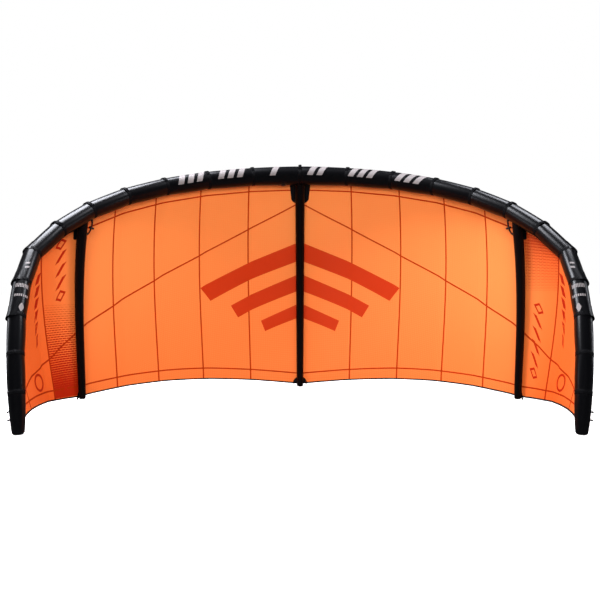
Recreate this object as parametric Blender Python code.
"""Inflatable kitesurf kite, 9 square metre class, with three struts. Metres, +Z up.

X runs across the span and Z from the trailing edge up to the leading edge. The hollow side, which the
rider sees, looks along -Y, and the wing tips reach forward along -Y. The kite stands on the end of its
centre strut and on its two wing tips. Each half is made once for the right wing and mirrored to the left.
"""
import bpy
import bmesh
import math
from mathutils import Matrix, Vector

# Leading edge tube: straight sewn segments from the centre to each wing tip
SEGMENTS = 12
HALF_LENGTH = 3.80
TIP_SEGMENT_RATIO = 0.52
TUBE_DIAMETER = 0.160
TUBE_TAPER = 0.42
TIP_DIAMETER = 0.073
ARC_TURN = math.radians(109)
WING_BEND = math.radians(18.5)
WING_BEND_SEAM = 7
SWEEP = math.radians(45.5)
TIP_SWEEP = math.radians(34.5)
TIP_HEIGHT = 0.024
TUBE_SIDES = 20
TIP_CLOSURE = ((0.90, 0.30), (0.66, 0.0))
SLEEVE_WALL = 0.0012

# Canopy: panels between ribs, whose places are counted in leading edge segments from the centre
STRUT_RIB = 5.333
INNER_PANELS = 5
WING_RIBS = (6.65, 9.2, 11.6)
CANOPY_WALL = 0.0010
CANOPY_LIFT = 0.0022
CHORD_ROWS = 9
ROW_CROWDING = 1.15
MIDWAY_SPACING = 0.55
CENTRE_ATTACH = math.radians(25)
TIP_ATTACH = math.radians(88)
CAMBER_FALL_POWER = 1.4
CENTRE_CAMBER = 0.070
STRUT_CAMBER = 0.030
TIP_CAMBER = 0.018
CENTRE_LEAN = math.radians(2.5)
CENTRE_HEM_HEIGHT = 0.022
STRUT_HEM_HEIGHT = 0.048
TIP_HEM_HEIGHT = 0.078
HEM_SCALLOP = 0.053
WING_SCALLOP = 0.004
WING_DRAW_IN = 0.40
TIP_DRAW_IN = 0.08

# Struts: tapered tubes on the hollow side of the canopy
CENTRE_STRUT_DIAMETERS = (0.086, 0.055)
SIDE_STRUT_DIAMETERS = (0.075, 0.049)
SIDE_STRUT_END_HEIGHT = 0.030
STRUT_SIDES = 16
STRUT_CLOSURE = ((0.96, 0.22), (0.62, 0.0))
STRUT_CANOPY_GAP = 0.0020
STRUT_TUBE_GAP = 0.0030

# Bladders
BLADDER_WALL = 0.0006
BLADDER_GAP = 0.0022
BLADDER_NECK_RADIUS = 0.008
BLADDER_NECK_LENGTH = 0.012
BLADDER_NECK_RISE = 0.010

# Inflation hose and pinch clip, one pair at each side strut
HOSE_RADIUS = 0.0060
HOSE_END_GAP = 0.0015
HOSE_ANGLE = math.radians(112)
HOSE_TURN = math.radians(20)
HOSE_DROP = 0.074
HOSE_REACH = 0.215
HOSE_BULGE = 0.022
CLIP_LENGTH = 0.016
CLIP_WIDTH = 0.027
CLIP_DEPTH = 0.020
CLIP_CHANNEL_CLEARANCE = 0.0011
CLIP_HOSE_PART = 0.5
LEVER_THICKNESS = 0.003
LEVER_LENGTH = 0.0306
LEVER_WIDTH = 0.0120

# Inflation valve under the leading edge, left of the centre strut
VALVE_RIB = 0.36
VALVE_ANGLE = math.radians(100)
VALVE_FLANGE_RADIUS = 0.030
VALVE_FLANGE_THICKNESS = 0.003
VALVE_NECK_DEPTH = 0.018
VALVE_BORE_RADIUS = 0.010
VALVE_NECK_RADIUS = VALVE_BORE_RADIUS + 0.004
VALVE_CAP_RADIUS = 0.020
VALVE_CAP_THICKNESS = 0.006
VALVE_CAP_BEVEL = (0.9, 0.4)
VALVE_HOLE_RADIUS = VALVE_NECK_RADIUS + 0.002
VALVE_HOLE_DEPTH = 0.025

# Line attachment loops on the wing tips, counted in segments along the leading edge
LOOP_RIBS = (11.48, 11.70)
LOOP_STEM_RADIUS = 0.0026
LOOP_KNOT_RADIUS = 0.0065
LOOP_LENGTH = 0.018
LOOP_STANDOFF = 0.0045
LOOP_ROOT_SHARE = 0.6
KNOT_START = math.radians(27)
KNOT_END = math.radians(162)
KNOT_STEPS = 4

GAP = 0.0003
SHARP_ANGLE = math.radians(35)


def blend(low, high, amount):
    """Value between low and high, with amount held to 0..1."""
    amount = min(max(amount, 0.0), 1.0)
    return low + (high - low) * amount


# ---------------------------------------------------------------- leading edge line

def segment_lengths():
    weights = [blend(1.0, TIP_SEGMENT_RATIO, k / (SEGMENTS - 1)) for k in range(SEGMENTS)]
    return [HALF_LENGTH * weight / sum(weights) for weight in weights]


def segment_direction(index, along):
    """Direction of one segment, whose middle lies at the fraction along of the half length."""
    turn = ARC_TURN * along + (WING_BEND if index >= WING_BEND_SEAM else 0.0)
    sweep = SWEEP * along + TIP_SWEEP * along ** 3
    return Vector((math.cos(sweep) * math.cos(turn), -math.cos(sweep) * math.sin(turn), -math.sin(sweep)))


LENGTHS = segment_lengths()
DIRECTIONS = []
SEAMS = [Vector((0.0, 0.0, 0.0))]
SEAM_FRACTIONS = [0.0]
for segment, length in enumerate(LENGTHS):
    middle = SEAM_FRACTIONS[-1] + 0.5 * length / HALF_LENGTH
    DIRECTIONS.append(segment_direction(segment, middle))
    SEAMS.append(SEAMS[-1] + DIRECTIONS[-1] * length)
    SEAM_FRACTIONS.append(SEAM_FRACTIONS[-1] + length / HALF_LENGTH)
CENTRE_HEIGHT = TIP_HEIGHT - SEAMS[-1].z
SEAMS = [point + Vector((0.0, 0.0, CENTRE_HEIGHT)) for point in SEAMS]


def seam_radius(index):
    if index == SEGMENTS:
        return TIP_DIAMETER / 2
    return TUBE_DIAMETER / 2 * (1 - TUBE_TAPER * SEAM_FRACTIONS[index])


def seam_frame(index):
    """Tangent, outward and rearward directions of the tube at a seam."""
    if index == 0:
        tangent = Vector((1.0, 0.0, 0.0))
    else:
        after = DIRECTIONS[min(index, SEGMENTS - 1)]
        tangent = (DIRECTIONS[index - 1] + after).normalized()
    outward = Vector((-tangent.y, tangent.x, 0.0)).normalized()
    rearward = outward.cross(tangent)
    return tangent, outward, rearward


def seam_point(index, angle, lift):
    """Point around the seam: angle 0 is outward and 90 degrees is rearward."""
    tangent, outward, rearward = seam_frame(index)
    reach = seam_radius(index) + lift
    return SEAMS[index] + (outward * math.cos(angle) + rearward * math.sin(angle)) * reach


def tube_point(place, angle, lift):
    """Point on the tube's surface at a place counted in segments from the centre."""
    index = min(int(place), SEGMENTS - 1)
    part = place - index
    return seam_point(index, angle, lift).lerp(seam_point(index + 1, angle, lift), part)


def tube_centre(place):
    index = min(int(place), SEGMENTS - 1)
    return SEAMS[index].lerp(SEAMS[index + 1], place - index)


def outward_at(place):
    index = min(int(place), SEGMENTS - 1)
    here, there = seam_frame(index)[1], seam_frame(index + 1)[1]
    return here.lerp(there, place - index).normalized()


# ---------------------------------------------------------------- canopy surface

def hem_height(place):
    """Height of the trailing edge, which sags up between the struts."""
    if place <= STRUT_RIB:
        part = place / STRUT_RIB
        return blend(CENTRE_HEM_HEIGHT, STRUT_HEM_HEIGHT, part) + HEM_SCALLOP * math.sin(math.pi * part)
    part = min((place - STRUT_RIB) / (WING_RIBS[-1] - STRUT_RIB), 1.0)
    return blend(STRUT_HEM_HEIGHT, TIP_HEM_HEIGHT, part) + WING_SCALLOP * math.sin(math.pi * part)


def hem_point(place):
    """Point on the trailing edge below a place on the leading edge."""
    centre = tube_centre(place)
    height = hem_height(place)
    if place <= STRUT_RIB:
        lean = CENTRE_LEAN * (1 - place / STRUT_RIB)
        point = centre - outward_at(place) * math.tan(lean) * (centre.z - height)
    else:
        strut = tube_centre(STRUT_RIB)
        part = (place - STRUT_RIB) / (WING_RIBS[-1] - STRUT_RIB)
        point = centre.lerp(strut, blend(WING_DRAW_IN, TIP_DRAW_IN, part))
    return Vector((point.x, point.y, height))


def camber_at(place):
    if place <= STRUT_RIB:
        return blend(CENTRE_CAMBER, STRUT_CAMBER, place / STRUT_RIB)
    return blend(STRUT_CAMBER, TIP_CAMBER, (place - STRUT_RIB) / (WING_RIBS[-1] - STRUT_RIB))


def canopy_point(place, chord_part):
    """Point on the canopy's middle surface; chord_part runs 0 to 1 from leading to trailing edge."""
    attach = blend(CENTRE_ATTACH, TIP_ATTACH, place / SEGMENTS)
    start = tube_point(place, attach, CANOPY_LIFT)
    end = hem_point(place)
    fullest = 1 / (1 + CAMBER_FALL_POWER)
    hump = chord_part * max(1 - chord_part, 0.0) ** CAMBER_FALL_POWER
    hump /= fullest * (1 - fullest) ** CAMBER_FALL_POWER
    rise = camber_at(place) * (end - start).length * hump
    return start.lerp(end, chord_part) + outward_at(place) * rise


def chord_rows():
    """Chord fractions of the canopy's rows of points, closer together near the leading edge."""
    return [(row / (CHORD_ROWS - 1)) ** ROW_CROWDING for row in range(CHORD_ROWS)]


def canopy_normal(place, chord_part):
    step = 0.01
    low, high = max(place - step, 0.0), min(place + step, WING_RIBS[-1] + step)
    across = canopy_point(high, chord_part) - canopy_point(low, chord_part)
    near, far = max(chord_part - step, 0.0), min(chord_part + step, 1.0)
    down = canopy_point(place, far) - canopy_point(place, near)
    return down.cross(across).normalized()


# ---------------------------------------------------------------- mesh and object helpers

def make_material(name, colour, roughness, metallic=0.0):
    material = bpy.data.materials.new(name)
    material.use_nodes = True
    shader = material.node_tree.nodes["Principled BSDF"]
    shader.inputs["Base Color"].default_value = (*colour, 1.0)
    shader.inputs["Roughness"].default_value = roughness
    shader.inputs["Metallic"].default_value = metallic
    material.diffuse_color = (*colour, 1.0)
    return material


def add_object(name, mesh, material, origin, parent):
    mesh.materials.append(material)
    item = bpy.data.objects.new(name, mesh)
    bpy.context.scene.collection.objects.link(item)
    item.parent = parent
    item.location = origin
    return item


def add_mesh(name, points, faces, material, origin, parent, side=1, smooth=True):
    """Object whose mesh is given in kite space; side -1 mirrors it to the left wing."""
    origin = Vector((origin[0] * side, origin[1], origin[2]))
    form = bmesh.new()
    corners = [form.verts.new(Vector((point.x * side, point.y, point.z)) - origin) for point in points]
    for face in faces:
        form.faces.new([corners[corner] for corner in face])
    bmesh.ops.recalc_face_normals(form, faces=form.faces)
    mesh = bpy.data.meshes.new(name)
    form.to_mesh(mesh)
    form.free()
    if smooth:
        mesh.shade_smooth()
        mesh.set_sharp_from_angle(angle=SHARP_ANGLE)
    return add_object(name, mesh, material, origin, parent)


def ring_faces(rings, sides, first):
    """Quads between consecutive rings of points, numbered from first."""
    faces = []
    for ring in range(rings - 1):
        for side in range(sides):
            after = (side + 1) % sides
            low, high = first + ring * sides, first + (ring + 1) * sides
            faces.append((low + side, low + after, high + after, high + side))
    return faces


def hollow_tube(outer, inner, start_closed, end_closed):
    """Points and faces of a walled tube from two lists of rings. A closed end gets a flat cap."""
    sides = len(outer[0])
    points = [point for ring in outer for point in ring] + [point for ring in inner for point in ring]
    base = len(outer) * sides
    faces = ring_faces(len(outer), sides, 0) + ring_faces(len(inner), sides, base)
    ends = ((0, base, start_closed), (base - sides, len(points) - sides, end_closed))
    for outside, inside, closed in ends:
        if closed:
            faces.append(tuple(range(outside, outside + sides)))
            faces.append(tuple(range(inside, inside + sides)))
        else:
            for side in range(sides):
                after = (side + 1) % sides
                faces.append((outside + side, outside + after, inside + after, inside + side))
    return points, faces


def circle(centre, first, second, radius, sides):
    """Ring of points around centre in the plane of two unit directions."""
    points = []
    for side in range(sides):
        angle = math.tau * side / sides
        points.append(centre + (first * math.cos(angle) + second * math.sin(angle)) * radius)
    return points


def turned(name, profile, material, pose, parent, sides=12):
    """Closed turned solid about the local Z axis of pose, from (radius, height) pairs, base first."""
    form = bmesh.new()
    rings = []
    for radius, height in profile:
        ring = circle(Vector((0, 0, height)), Vector((1, 0, 0)), Vector((0, 1, 0)), radius, sides)
        rings.append([form.verts.new(point) for point in ring])
    for low, high in zip(rings, rings[1:]):
        for side in range(sides):
            after = (side + 1) % sides
            form.faces.new((low[side], low[after], high[after], high[side]))
    form.faces.new(list(reversed(rings[0])))
    form.faces.new(rings[-1])
    bmesh.ops.recalc_face_normals(form, faces=form.faces)
    mesh = bpy.data.meshes.new(name)
    form.to_mesh(mesh)
    form.free()
    mesh.shade_smooth()
    mesh.set_sharp_from_angle(angle=SHARP_ANGLE)
    item = add_object(name, mesh, material, Vector((0, 0, 0)), parent)
    item.matrix_local = pose
    return item


def block(name, low, high, material, pose, parent):
    """Rectangular block between two corners, in the frame of pose."""
    form = bmesh.new()
    bmesh.ops.create_cube(form, size=1.0)
    for corner in form.verts:
        for axis in range(3):
            corner.co[axis] = low[axis] if corner.co[axis] < 0 else high[axis]
    mesh = bpy.data.meshes.new(name)
    form.to_mesh(mesh)
    form.free()
    item = add_object(name, mesh, material, Vector((0, 0, 0)), parent)
    item.matrix_local = pose
    return item


def cut_hole(item, name, centre, axis, radius, depth, parent):
    """Boolean cut of a round hole, with a hidden cutter that runs depth each way from centre."""
    form = bmesh.new()
    bmesh.ops.create_cone(form, cap_ends=True, segments=20, radius1=radius, radius2=radius, depth=2 * depth)
    mesh = bpy.data.meshes.new(name)
    form.to_mesh(mesh)
    form.free()
    cutter = bpy.data.objects.new(name, mesh)
    bpy.context.scene.collection.objects.link(cutter)
    cutter.parent = parent
    cutter.matrix_local = Matrix.Translation(centre) @ axis.to_track_quat('Z', 'Y').to_matrix().to_4x4()
    cutter.hide_render = True
    cutter.display_type = 'WIRE'
    cut = item.modifiers.new(name, 'BOOLEAN')
    cut.object = cutter
    cut.operation = 'DIFFERENCE'


def pose_from(position, first, third):
    """Pose whose local X is close to first and whose local Z is third."""
    third = third.normalized()
    second = third.cross(first).normalized()
    first = second.cross(third)
    turn = Matrix((first, second, third)).transposed().to_4x4()
    return Matrix.Translation(position) @ turn


def mirrored(point, side):
    return Vector((point.x * side, point.y, point.z))


# ---------------------------------------------------------------- leading edge pieces

def leading_edge_panel(index, side, material, parent):
    """One straight sewn segment of the sleeve. The last one is closed at the wing tip."""
    outer, inner = [], []
    for seam, shift in ((index, GAP / 2), (index + 1, -GAP / 2)):
        tangent, outward, rearward = seam_frame(seam)
        centre = SEAMS[seam] + tangent * shift
        outer.append(circle(centre, outward, rearward, seam_radius(seam), TUBE_SIDES))
        inner.append(circle(centre, outward, rearward, seam_radius(seam) - SLEEVE_WALL, TUBE_SIDES))
    is_tip = index == SEGMENTS - 1
    if is_tip:
        outer += tip_closure(TIP_DIAMETER / 2, 0.0)
        inner += tip_closure(TIP_DIAMETER / 2 - SLEEVE_WALL, SLEEVE_WALL)
    points, faces = hollow_tube(outer, inner, False, is_tip)
    letter = "R" if side > 0 else "L"
    return add_mesh(f"le_panel_{letter}{index + 1:02d}", points, faces, material, SEAMS[index], parent, side)


def tip_closure(radius, height):
    """Rings that round the tube's end off into a flat foot at the given height."""
    tangent, outward, rearward = seam_frame(SEGMENTS)
    flat_rear = Vector((rearward.x, rearward.y, 0)).normalized()
    rings = []
    for part, rise in TIP_CLOSURE:
        centre = Vector((SEAMS[-1].x, SEAMS[-1].y, blend(height, TIP_HEIGHT, rise)))
        rings.append(circle(centre, outward, flat_rear, radius * part, TUBE_SIDES))
    return rings


def leading_edge_bladder(material, parent):
    """Airtight tube through the whole sleeve, closed at both tips."""
    rings = {}
    for shell, inset in (("outer", 0.0), ("inner", BLADDER_WALL)):
        half = []
        for seam in range(SEGMENTS + 1):
            tangent, outward, rearward = seam_frame(seam)
            radius = seam_radius(seam) - SLEEVE_WALL - BLADDER_GAP - inset
            pull = tangent * (inset if seam == SEGMENTS else 0.0)
            half.append(circle(SEAMS[seam] - pull, outward, rearward, radius, TUBE_SIDES))
        left = [[mirrored(point, -1) for point in ring] for ring in reversed(half[1:])]
        rings[shell] = left + half
    points, faces = hollow_tube(rings["outer"], rings["inner"], True, True)
    return add_mesh("le_bladder", points, faces, material, SEAMS[0], parent)


# ---------------------------------------------------------------- canopy pieces

def canopy_stations(start, end):
    """Places across one panel: its edges, the tube's seams between them and points halfway."""
    marks = [start] + [float(seam) for seam in range(SEGMENTS) if start < seam < end] + [end]
    stations = []
    for here, there in zip(marks, marks[1:]):
        stations += [here, (here + there) / 2] if there - here > MIDWAY_SPACING else [here]
    return stations + [end]


def canopy_panel(number, start, end, side, material, parent):
    """One sewn panel, as a thin sheet with its two faces half a wall either side of the surface."""
    trim_start = GAP / 2 / LENGTHS[min(int(start), SEGMENTS - 1)]
    trim_end = GAP / 2 / LENGTHS[min(int(end), SEGMENTS - 1)]
    stations = canopy_stations(start + trim_start, end - trim_end)
    rows = chord_rows()
    sheets = []
    for offset in (CANOPY_WALL / 2, -CANOPY_WALL / 2):
        sheets.append([canopy_point(place, part) + canopy_normal(place, part) * offset
                       for place in stations for part in rows])
    count = len(sheets[0])
    faces = []
    columns = len(stations)
    for column in range(columns - 1):
        for row in range(CHORD_ROWS - 1):
            corner = column * CHORD_ROWS + row
            quad = (corner, corner + 1, corner + 1 + CHORD_ROWS, corner + CHORD_ROWS)
            faces.append(quad)
            faces.append(tuple(vertex + count for vertex in quad))
    last = (columns - 1) * CHORD_ROWS
    border = [row for row in range(CHORD_ROWS)]
    border += [column * CHORD_ROWS + CHORD_ROWS - 1 for column in range(1, columns)]
    border += [last + row for row in range(CHORD_ROWS - 2, -1, -1)]
    border += [column * CHORD_ROWS for column in range(columns - 2, 0, -1)]
    for here, there in zip(border, border[1:] + border[:1]):
        faces.append((here, there, there + count, here + count))
    letter = "R" if side > 0 else "L"
    points = sheets[0] + sheets[1]
    origin = canopy_point(start, 0.0)
    return add_mesh(f"canopy_panel_{letter}{number}", points, faces, material, origin, parent, side)


# ---------------------------------------------------------------- strut pieces

def strut_frame(place, chord_part):
    """Across, inward and downward directions of a strut at one point of its rib."""
    step = 0.01
    near, far = max(chord_part - step, 0.0), min(chord_part + step, 1.0)
    down = (canopy_point(place, far) - canopy_point(place, near)).normalized()
    inward = -outward_at(place)
    inward = (inward - down * inward.dot(down)).normalized()
    return inward.cross(down), inward, down


def strut_radius(diameters, chord_part):
    return blend(diameters[0], diameters[1], chord_part) / 2


def strut_centre(place, chord_part, diameters):
    across, inward, down = strut_frame(place, chord_part)
    offset = strut_radius(diameters, chord_part) + CANOPY_WALL / 2 + STRUT_CANOPY_GAP
    return canopy_point(place, chord_part) + inward * offset


def run_to_tube(point, up, place, clearance):
    """Follow up from point until it is clearance away from the leading edge tube."""
    index = min(int(place), SEGMENTS - 1)
    axis = seam_frame(0)[0] if index == 0 else DIRECTIONS[index]
    centre = tube_centre(place)
    radius = blend(seam_radius(index), seam_radius(index + 1), place - index) + clearance
    offset = point - centre
    flat_up = up - axis * up.dot(axis)
    flat_offset = offset - axis * offset.dot(axis)
    a = flat_up.dot(flat_up)
    b = 2 * flat_up.dot(flat_offset)
    c = flat_offset.dot(flat_offset) - radius ** 2
    root = math.sqrt(max(b * b - 4 * a * c, 0.0))
    return point + up * ((-b - root) / (2 * a))


def strut_rings(place, diameters, inset):
    """Rings of a strut, level with the canopy's rows, below a saddle that fits the leading edge."""
    rings = []
    for part in chord_rows()[1:]:
        across, inward, down = strut_frame(place, part)
        centre = strut_centre(place, part, diameters)
        rings.append(circle(centre, across, inward, strut_radius(diameters, part) - inset, STRUT_SIDES))
    up = (canopy_point(place, 0.0) - canopy_point(place, chord_rows()[1])).normalized()
    rings.insert(0, [run_to_tube(point, up, place, STRUT_TUBE_GAP) for point in rings[0]])
    return rings


def strut_foot(place, diameters, end_height, inset, sides):
    """Two level rings that round the strut's end off into a flat foot at end_height."""
    across, inward, down = strut_frame(place, 1.0)
    bottom = strut_centre(place, 1.0, diameters)
    level_across = Vector((across.x, across.y, 0)).normalized()
    level_inward = Vector((inward.x, inward.y, 0)).normalized()
    radius = strut_radius(diameters, 1.0) - inset
    rings = []
    for part, rise in STRUT_CLOSURE:
        height = blend(end_height, bottom.z, rise)
        centre = bottom + down * ((bottom.z - height) / -down.z)
        rings.append(circle(centre, level_across, level_inward, radius * part, sides))
    return rings


def strut_sleeve(name, place, diameters, end_height, side, material, parent):
    outer = strut_rings(place, diameters, 0.0)
    inner = strut_rings(place, diameters, SLEEVE_WALL)
    outer += strut_foot(place, diameters, end_height, 0.0, STRUT_SIDES)
    inner += strut_foot(place, diameters, end_height + SLEEVE_WALL, SLEEVE_WALL, STRUT_SIDES)
    points, faces = hollow_tube(outer, inner, False, True)
    return add_mesh(name, points, faces, material, strut_centre(place, chord_rows()[1], diameters), parent, side)


def strut_bladder(name, place, diameters, side, material, parent):
    """Airtight tube in a strut sleeve. Its upper end narrows to the open neck that the hose feeds."""
    shells = []
    parts = chord_rows()[1:]
    for inset in (0.0, BLADDER_WALL):
        gap = SLEEVE_WALL + BLADDER_GAP + inset
        rings = []
        for part in parts:
            across, inward, down = strut_frame(place, part)
            pull = down * (inset if part == parts[-1] else 0.0)
            centre = strut_centre(place, part, diameters) - pull
            rings.append(circle(centre, across, inward, strut_radius(diameters, part) - gap, STRUT_SIDES))
        across, inward, down = strut_frame(place, parts[0])
        top = strut_centre(place, parts[0], diameters)
        for rise in (BLADDER_NECK_RISE, BLADDER_NECK_RISE + BLADDER_NECK_LENGTH):
            neck = circle(top - down * rise, across, inward, BLADDER_NECK_RADIUS - inset, STRUT_SIDES)
            rings.insert(0, neck)
        shells.append(rings)
    points, faces = hollow_tube(shells[0], shells[1], False, True)
    return add_mesh(name, points, faces, material, strut_centre(place, parts[0], diameters), parent, side)


# ---------------------------------------------------------------- hose, clip, valve and loops

def hose_curve(part):
    """Point on the hose from the leading edge (0) to the side strut (1), for the right wing."""
    start_place = STRUT_RIB - HOSE_REACH
    start = tube_point(start_place, HOSE_ANGLE, HOSE_END_GAP)
    start_push = (start - tube_centre(start_place)).normalized() * HOSE_BULGE
    chord_part = HOSE_DROP / (tube_centre(STRUT_RIB).z - hem_height(STRUT_RIB))
    across, inward, down = strut_frame(STRUT_RIB, chord_part)
    centre = strut_centre(STRUT_RIB, chord_part, SIDE_STRUT_DIAMETERS)
    toward_centre = -across if across.x > 0 else across
    outside = (toward_centre * math.cos(HOSE_TURN) + inward * math.sin(HOSE_TURN)).normalized()
    end = centre + outside * (strut_radius(SIDE_STRUT_DIAMETERS, chord_part) + HOSE_END_GAP)
    end_push = outside * HOSE_BULGE
    first, second = start + start_push, end + end_push
    rest = 1 - part
    return (start * rest ** 3 + first * 3 * rest ** 2 * part
            + second * 3 * rest * part ** 2 + end * part ** 3)


def inflation_hose(name, side, material, parent):
    points = 16
    path = bpy.data.curves.new(name, 'CURVE')
    path.dimensions = '3D'
    path.bevel_depth = HOSE_RADIUS
    path.bevel_resolution = 2
    path.use_fill_caps = True
    spline = path.splines.new('POLY')
    spline.points.add(points - 1)
    origin = mirrored(hose_curve(0.0), side)
    for index, point in enumerate(spline.points):
        place = mirrored(hose_curve(index / (points - 1)), side) - origin
        point.co = (place.x, place.y, place.z, 1.0)
    path.materials.append(material)
    item = bpy.data.objects.new(name, path)
    bpy.context.scene.collection.objects.link(item)
    item.parent = parent
    item.location = origin
    return item


def clip_pose(side):
    """Pose of the pinch clip: Z along the hose, X away from the strut's side towards the rider."""
    step = 0.06
    middle = mirrored(hose_curve(CLIP_HOSE_PART), side)
    before = mirrored(hose_curve(CLIP_HOSE_PART - step), side)
    along = (mirrored(hose_curve(CLIP_HOSE_PART + step), side) - before).normalized()
    outward = outward_at(STRUT_RIB)
    front = Vector((-outward.x * side, -outward.y, 0.0))
    return pose_from(middle, front, along)


def pinch_clip(suffix, side, body_material, lever_material, parent):
    """Clip body around the hose, and a flat lever hinged along one edge of its front face."""
    pose = clip_pose(side)
    half = Vector((CLIP_DEPTH, CLIP_WIDTH, CLIP_LENGTH)) / 2
    body = block(f"clip_body_{suffix}", -half, half, body_material, pose, parent)
    cut_hole(body, f"clip_channel_{suffix}", pose.translation, pose.to_3x3().col[2],
             HOSE_RADIUS + CLIP_CHANNEL_CLEARANCE, CLIP_LENGTH, parent)
    hinge = pose @ Matrix.Translation((half.x + GAP + LEVER_THICKNESS / 2, -half.y * side, 0.0))
    ends = sorted((0.0, LEVER_LENGTH * side))
    low = Vector((-LEVER_THICKNESS / 2, ends[0], -LEVER_WIDTH / 2))
    high = Vector((LEVER_THICKNESS / 2, ends[1], LEVER_WIDTH / 2))
    return block(f"clip_lever_{suffix}", low, high, lever_material, hinge, parent)


def valve_pose():
    """Pose of the inflation valve on the left wing: Z out of the tube and X along it, to the left."""
    surface = mirrored(tube_point(VALVE_RIB, VALVE_ANGLE, 0.0), -1)
    centre = mirrored(tube_centre(VALVE_RIB), -1)
    return pose_from(surface, Vector((-1, 0, 0)), surface - centre)


def inflation_valve(body_material, cap_material, parent):
    """Flanged valve through the sleeve and bladder, with a cap hinged at the flange's edge."""
    pose = valve_pose()
    top = GAP + VALVE_FLANGE_THICKNESS
    profile = [(VALVE_BORE_RADIUS, -VALVE_NECK_DEPTH), (VALVE_NECK_RADIUS, -VALVE_NECK_DEPTH),
               (VALVE_NECK_RADIUS, GAP), (VALVE_FLANGE_RADIUS, GAP),
               (VALVE_FLANGE_RADIUS, top), (VALVE_BORE_RADIUS, top),
               (VALVE_BORE_RADIUS, -VALVE_NECK_DEPTH)]
    ring_solid("valve_body", profile, body_material, pose, parent)
    half_cap = VALVE_CAP_THICKNESS / 2
    hinge_reach = VALVE_CAP_RADIUS + half_cap
    hinge = pose @ Matrix.Translation((hinge_reach, 0.0, top + GAP + half_cap))
    cap_profile = [(VALVE_CAP_RADIUS, -half_cap), (VALVE_CAP_RADIUS, half_cap * VALVE_CAP_BEVEL[1]),
                   (VALVE_CAP_RADIUS * VALVE_CAP_BEVEL[0], half_cap)]
    cap = turned("valve_cap", cap_profile, cap_material, hinge, parent, sides=24)
    cap.data.transform(Matrix.Translation((-hinge_reach, 0.0, 0.0)))
    return cap


def ring_solid(name, profile, material, pose, parent, sides=24):
    """Closed ring turned about local Z from a looped profile whose last pair repeats the first."""
    points = []
    for radius, height in profile[:-1]:
        points += circle(Vector((0, 0, height)), Vector((1, 0, 0)), Vector((0, 1, 0)), radius, sides)
    count = len(profile) - 1
    faces = []
    for ring in range(count):
        here, there = ring * sides, (ring + 1) % count * sides
        for side in range(sides):
            after = (side + 1) % sides
            faces.append((here + side, here + after, there + after, there + side))
    item = add_mesh(name, points, faces, material, Vector((0, 0, 0)), parent)
    item.matrix_local = pose
    return item


def loop_pose(place, side):
    """Pose of a line attachment loop: Z out of the tube, away from the other wing, X along the tube."""
    index = int(place)
    direction = mirrored(DIRECTIONS[index], side)
    away = Vector((side, 0.0, 0.0))
    away = (away - direction * away.dot(direction)).normalized()
    radius = blend(seam_radius(index), seam_radius(index + 1), place - index)
    return pose_from(mirrored(tube_centre(place), side) + away * (radius + LOOP_STANDOFF), direction, away)


def line_loop(name, place, side, material, parent):
    """Short corded stem that ends in a knot, swinging about the tube's direction at its root."""
    neck = LOOP_LENGTH - 2 * LOOP_KNOT_RADIUS
    profile = [(LOOP_STEM_RADIUS * LOOP_ROOT_SHARE, -LOOP_STEM_RADIUS), (LOOP_STEM_RADIUS, 0.0),
               (LOOP_STEM_RADIUS, neck)]
    for step in range(1, KNOT_STEPS + 1):
        angle = blend(KNOT_START, KNOT_END, step / KNOT_STEPS)
        profile.append((LOOP_KNOT_RADIUS * math.sin(angle),
                        LOOP_LENGTH - LOOP_KNOT_RADIUS * (1 + math.cos(angle))))
    return turned(name, profile, material, loop_pose(place, side), parent, sides=10)


# ---------------------------------------------------------------- assembly

def clear_scene():
    for item in list(bpy.data.objects):
        bpy.data.objects.remove(item, do_unlink=True)


def stand_at_origin(kite):
    """Move the whole kite so that its bounding box is centred on the origin across and in depth."""
    bpy.context.view_layer.update()
    graph = bpy.context.evaluated_depsgraph_get()
    depths = []
    for item in bpy.data.objects:
        if item.type in {'MESH', 'CURVE'} and not item.hide_render:
            seen = item.evaluated_get(graph)
            mesh = seen.to_mesh()
            depths += [(seen.matrix_world @ corner.co).y for corner in mesh.vertices]
            seen.to_mesh_clear()
    kite.location.y = -(min(depths) + max(depths)) / 2
    bpy.context.view_layer.update()


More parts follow.
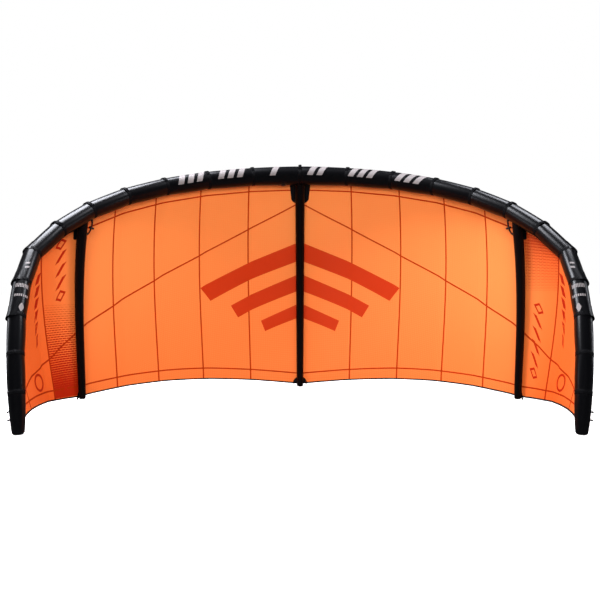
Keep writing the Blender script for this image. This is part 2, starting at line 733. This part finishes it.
def build_kite():
    clear_scene()
    sleeve = make_material("coated_dacron_black", (0.012, 0.012, 0.014), 0.42)
    strut_cloth = make_material("strut_dacron_black", (0.010, 0.009, 0.010), 0.55)
    ripstop = make_material("ripstop_orange", (0.90, 0.21, 0.045), 0.60)
    film = make_material("bladder_film", (0.62, 0.64, 0.66), 0.35)
    hose_rubber = make_material("hose_black", (0.018, 0.018, 0.018), 0.50)
    clip_plastic = make_material("clip_plastic", (0.022, 0.022, 0.024), 0.40)
    lever_plastic = make_material("lever_plastic", (0.045, 0.045, 0.050), 0.38)
    valve_plastic = make_material("valve_plastic", (0.020, 0.020, 0.022), 0.35)
    cap_plastic = make_material("valve_cap_plastic", (0.050, 0.050, 0.055), 0.40)
    cord = make_material("loop_cord", (0.015, 0.015, 0.016), 0.75)

    kite = bpy.data.objects.new("kite_frame", None)
    bpy.context.scene.collection.objects.link(kite)

    ribs = [STRUT_RIB * rib / INNER_PANELS for rib in range(INNER_PANELS + 1)] + list(WING_RIBS)
    panels = {}
    for side, letter, word in ((1, "R", "right"), (-1, "L", "left")):
        for index in range(SEGMENTS):
            panel = leading_edge_panel(index, side, sleeve, kite)
            panels[panel.name] = panel
        for number, (start, end) in enumerate(zip(ribs, ribs[1:]), 1):
            canopy_panel(number, start, end, side, ripstop, kite)
        strut_sleeve(f"strut_sleeve_{word}", STRUT_RIB, SIDE_STRUT_DIAMETERS, SIDE_STRUT_END_HEIGHT,
                     side, strut_cloth, kite)
        strut_bladder(f"strut_bladder_{word}", STRUT_RIB, SIDE_STRUT_DIAMETERS, side, film, kite)
        inflation_hose(f"hose_{word}", side, hose_rubber, kite)
        pinch_clip(word, side, clip_plastic, lever_plastic, kite)
        for name, place in zip(("upper", "lower"), LOOP_RIBS):
            line_loop(f"tip_loop_{word}_{name}", place, side, cord, kite)
    strut_sleeve("strut_sleeve_centre", 0.0, CENTRE_STRUT_DIAMETERS, 0.0, 1, strut_cloth, kite)
    strut_bladder("strut_bladder_centre", 0.0, CENTRE_STRUT_DIAMETERS, 1, film, kite)

    bladder = leading_edge_bladder(film, kite)
    inflation_valve(valve_plastic, cap_plastic, kite)
    hole = valve_pose()
    for item in (panels["le_panel_L01"], bladder):
        cut_hole(item, f"valve_hole_{item.name}", hole.translation, hole.to_3x3().col[2],
                 VALVE_HOLE_RADIUS, VALVE_HOLE_DEPTH, kite)
    stand_at_origin(kite)


build_kite()
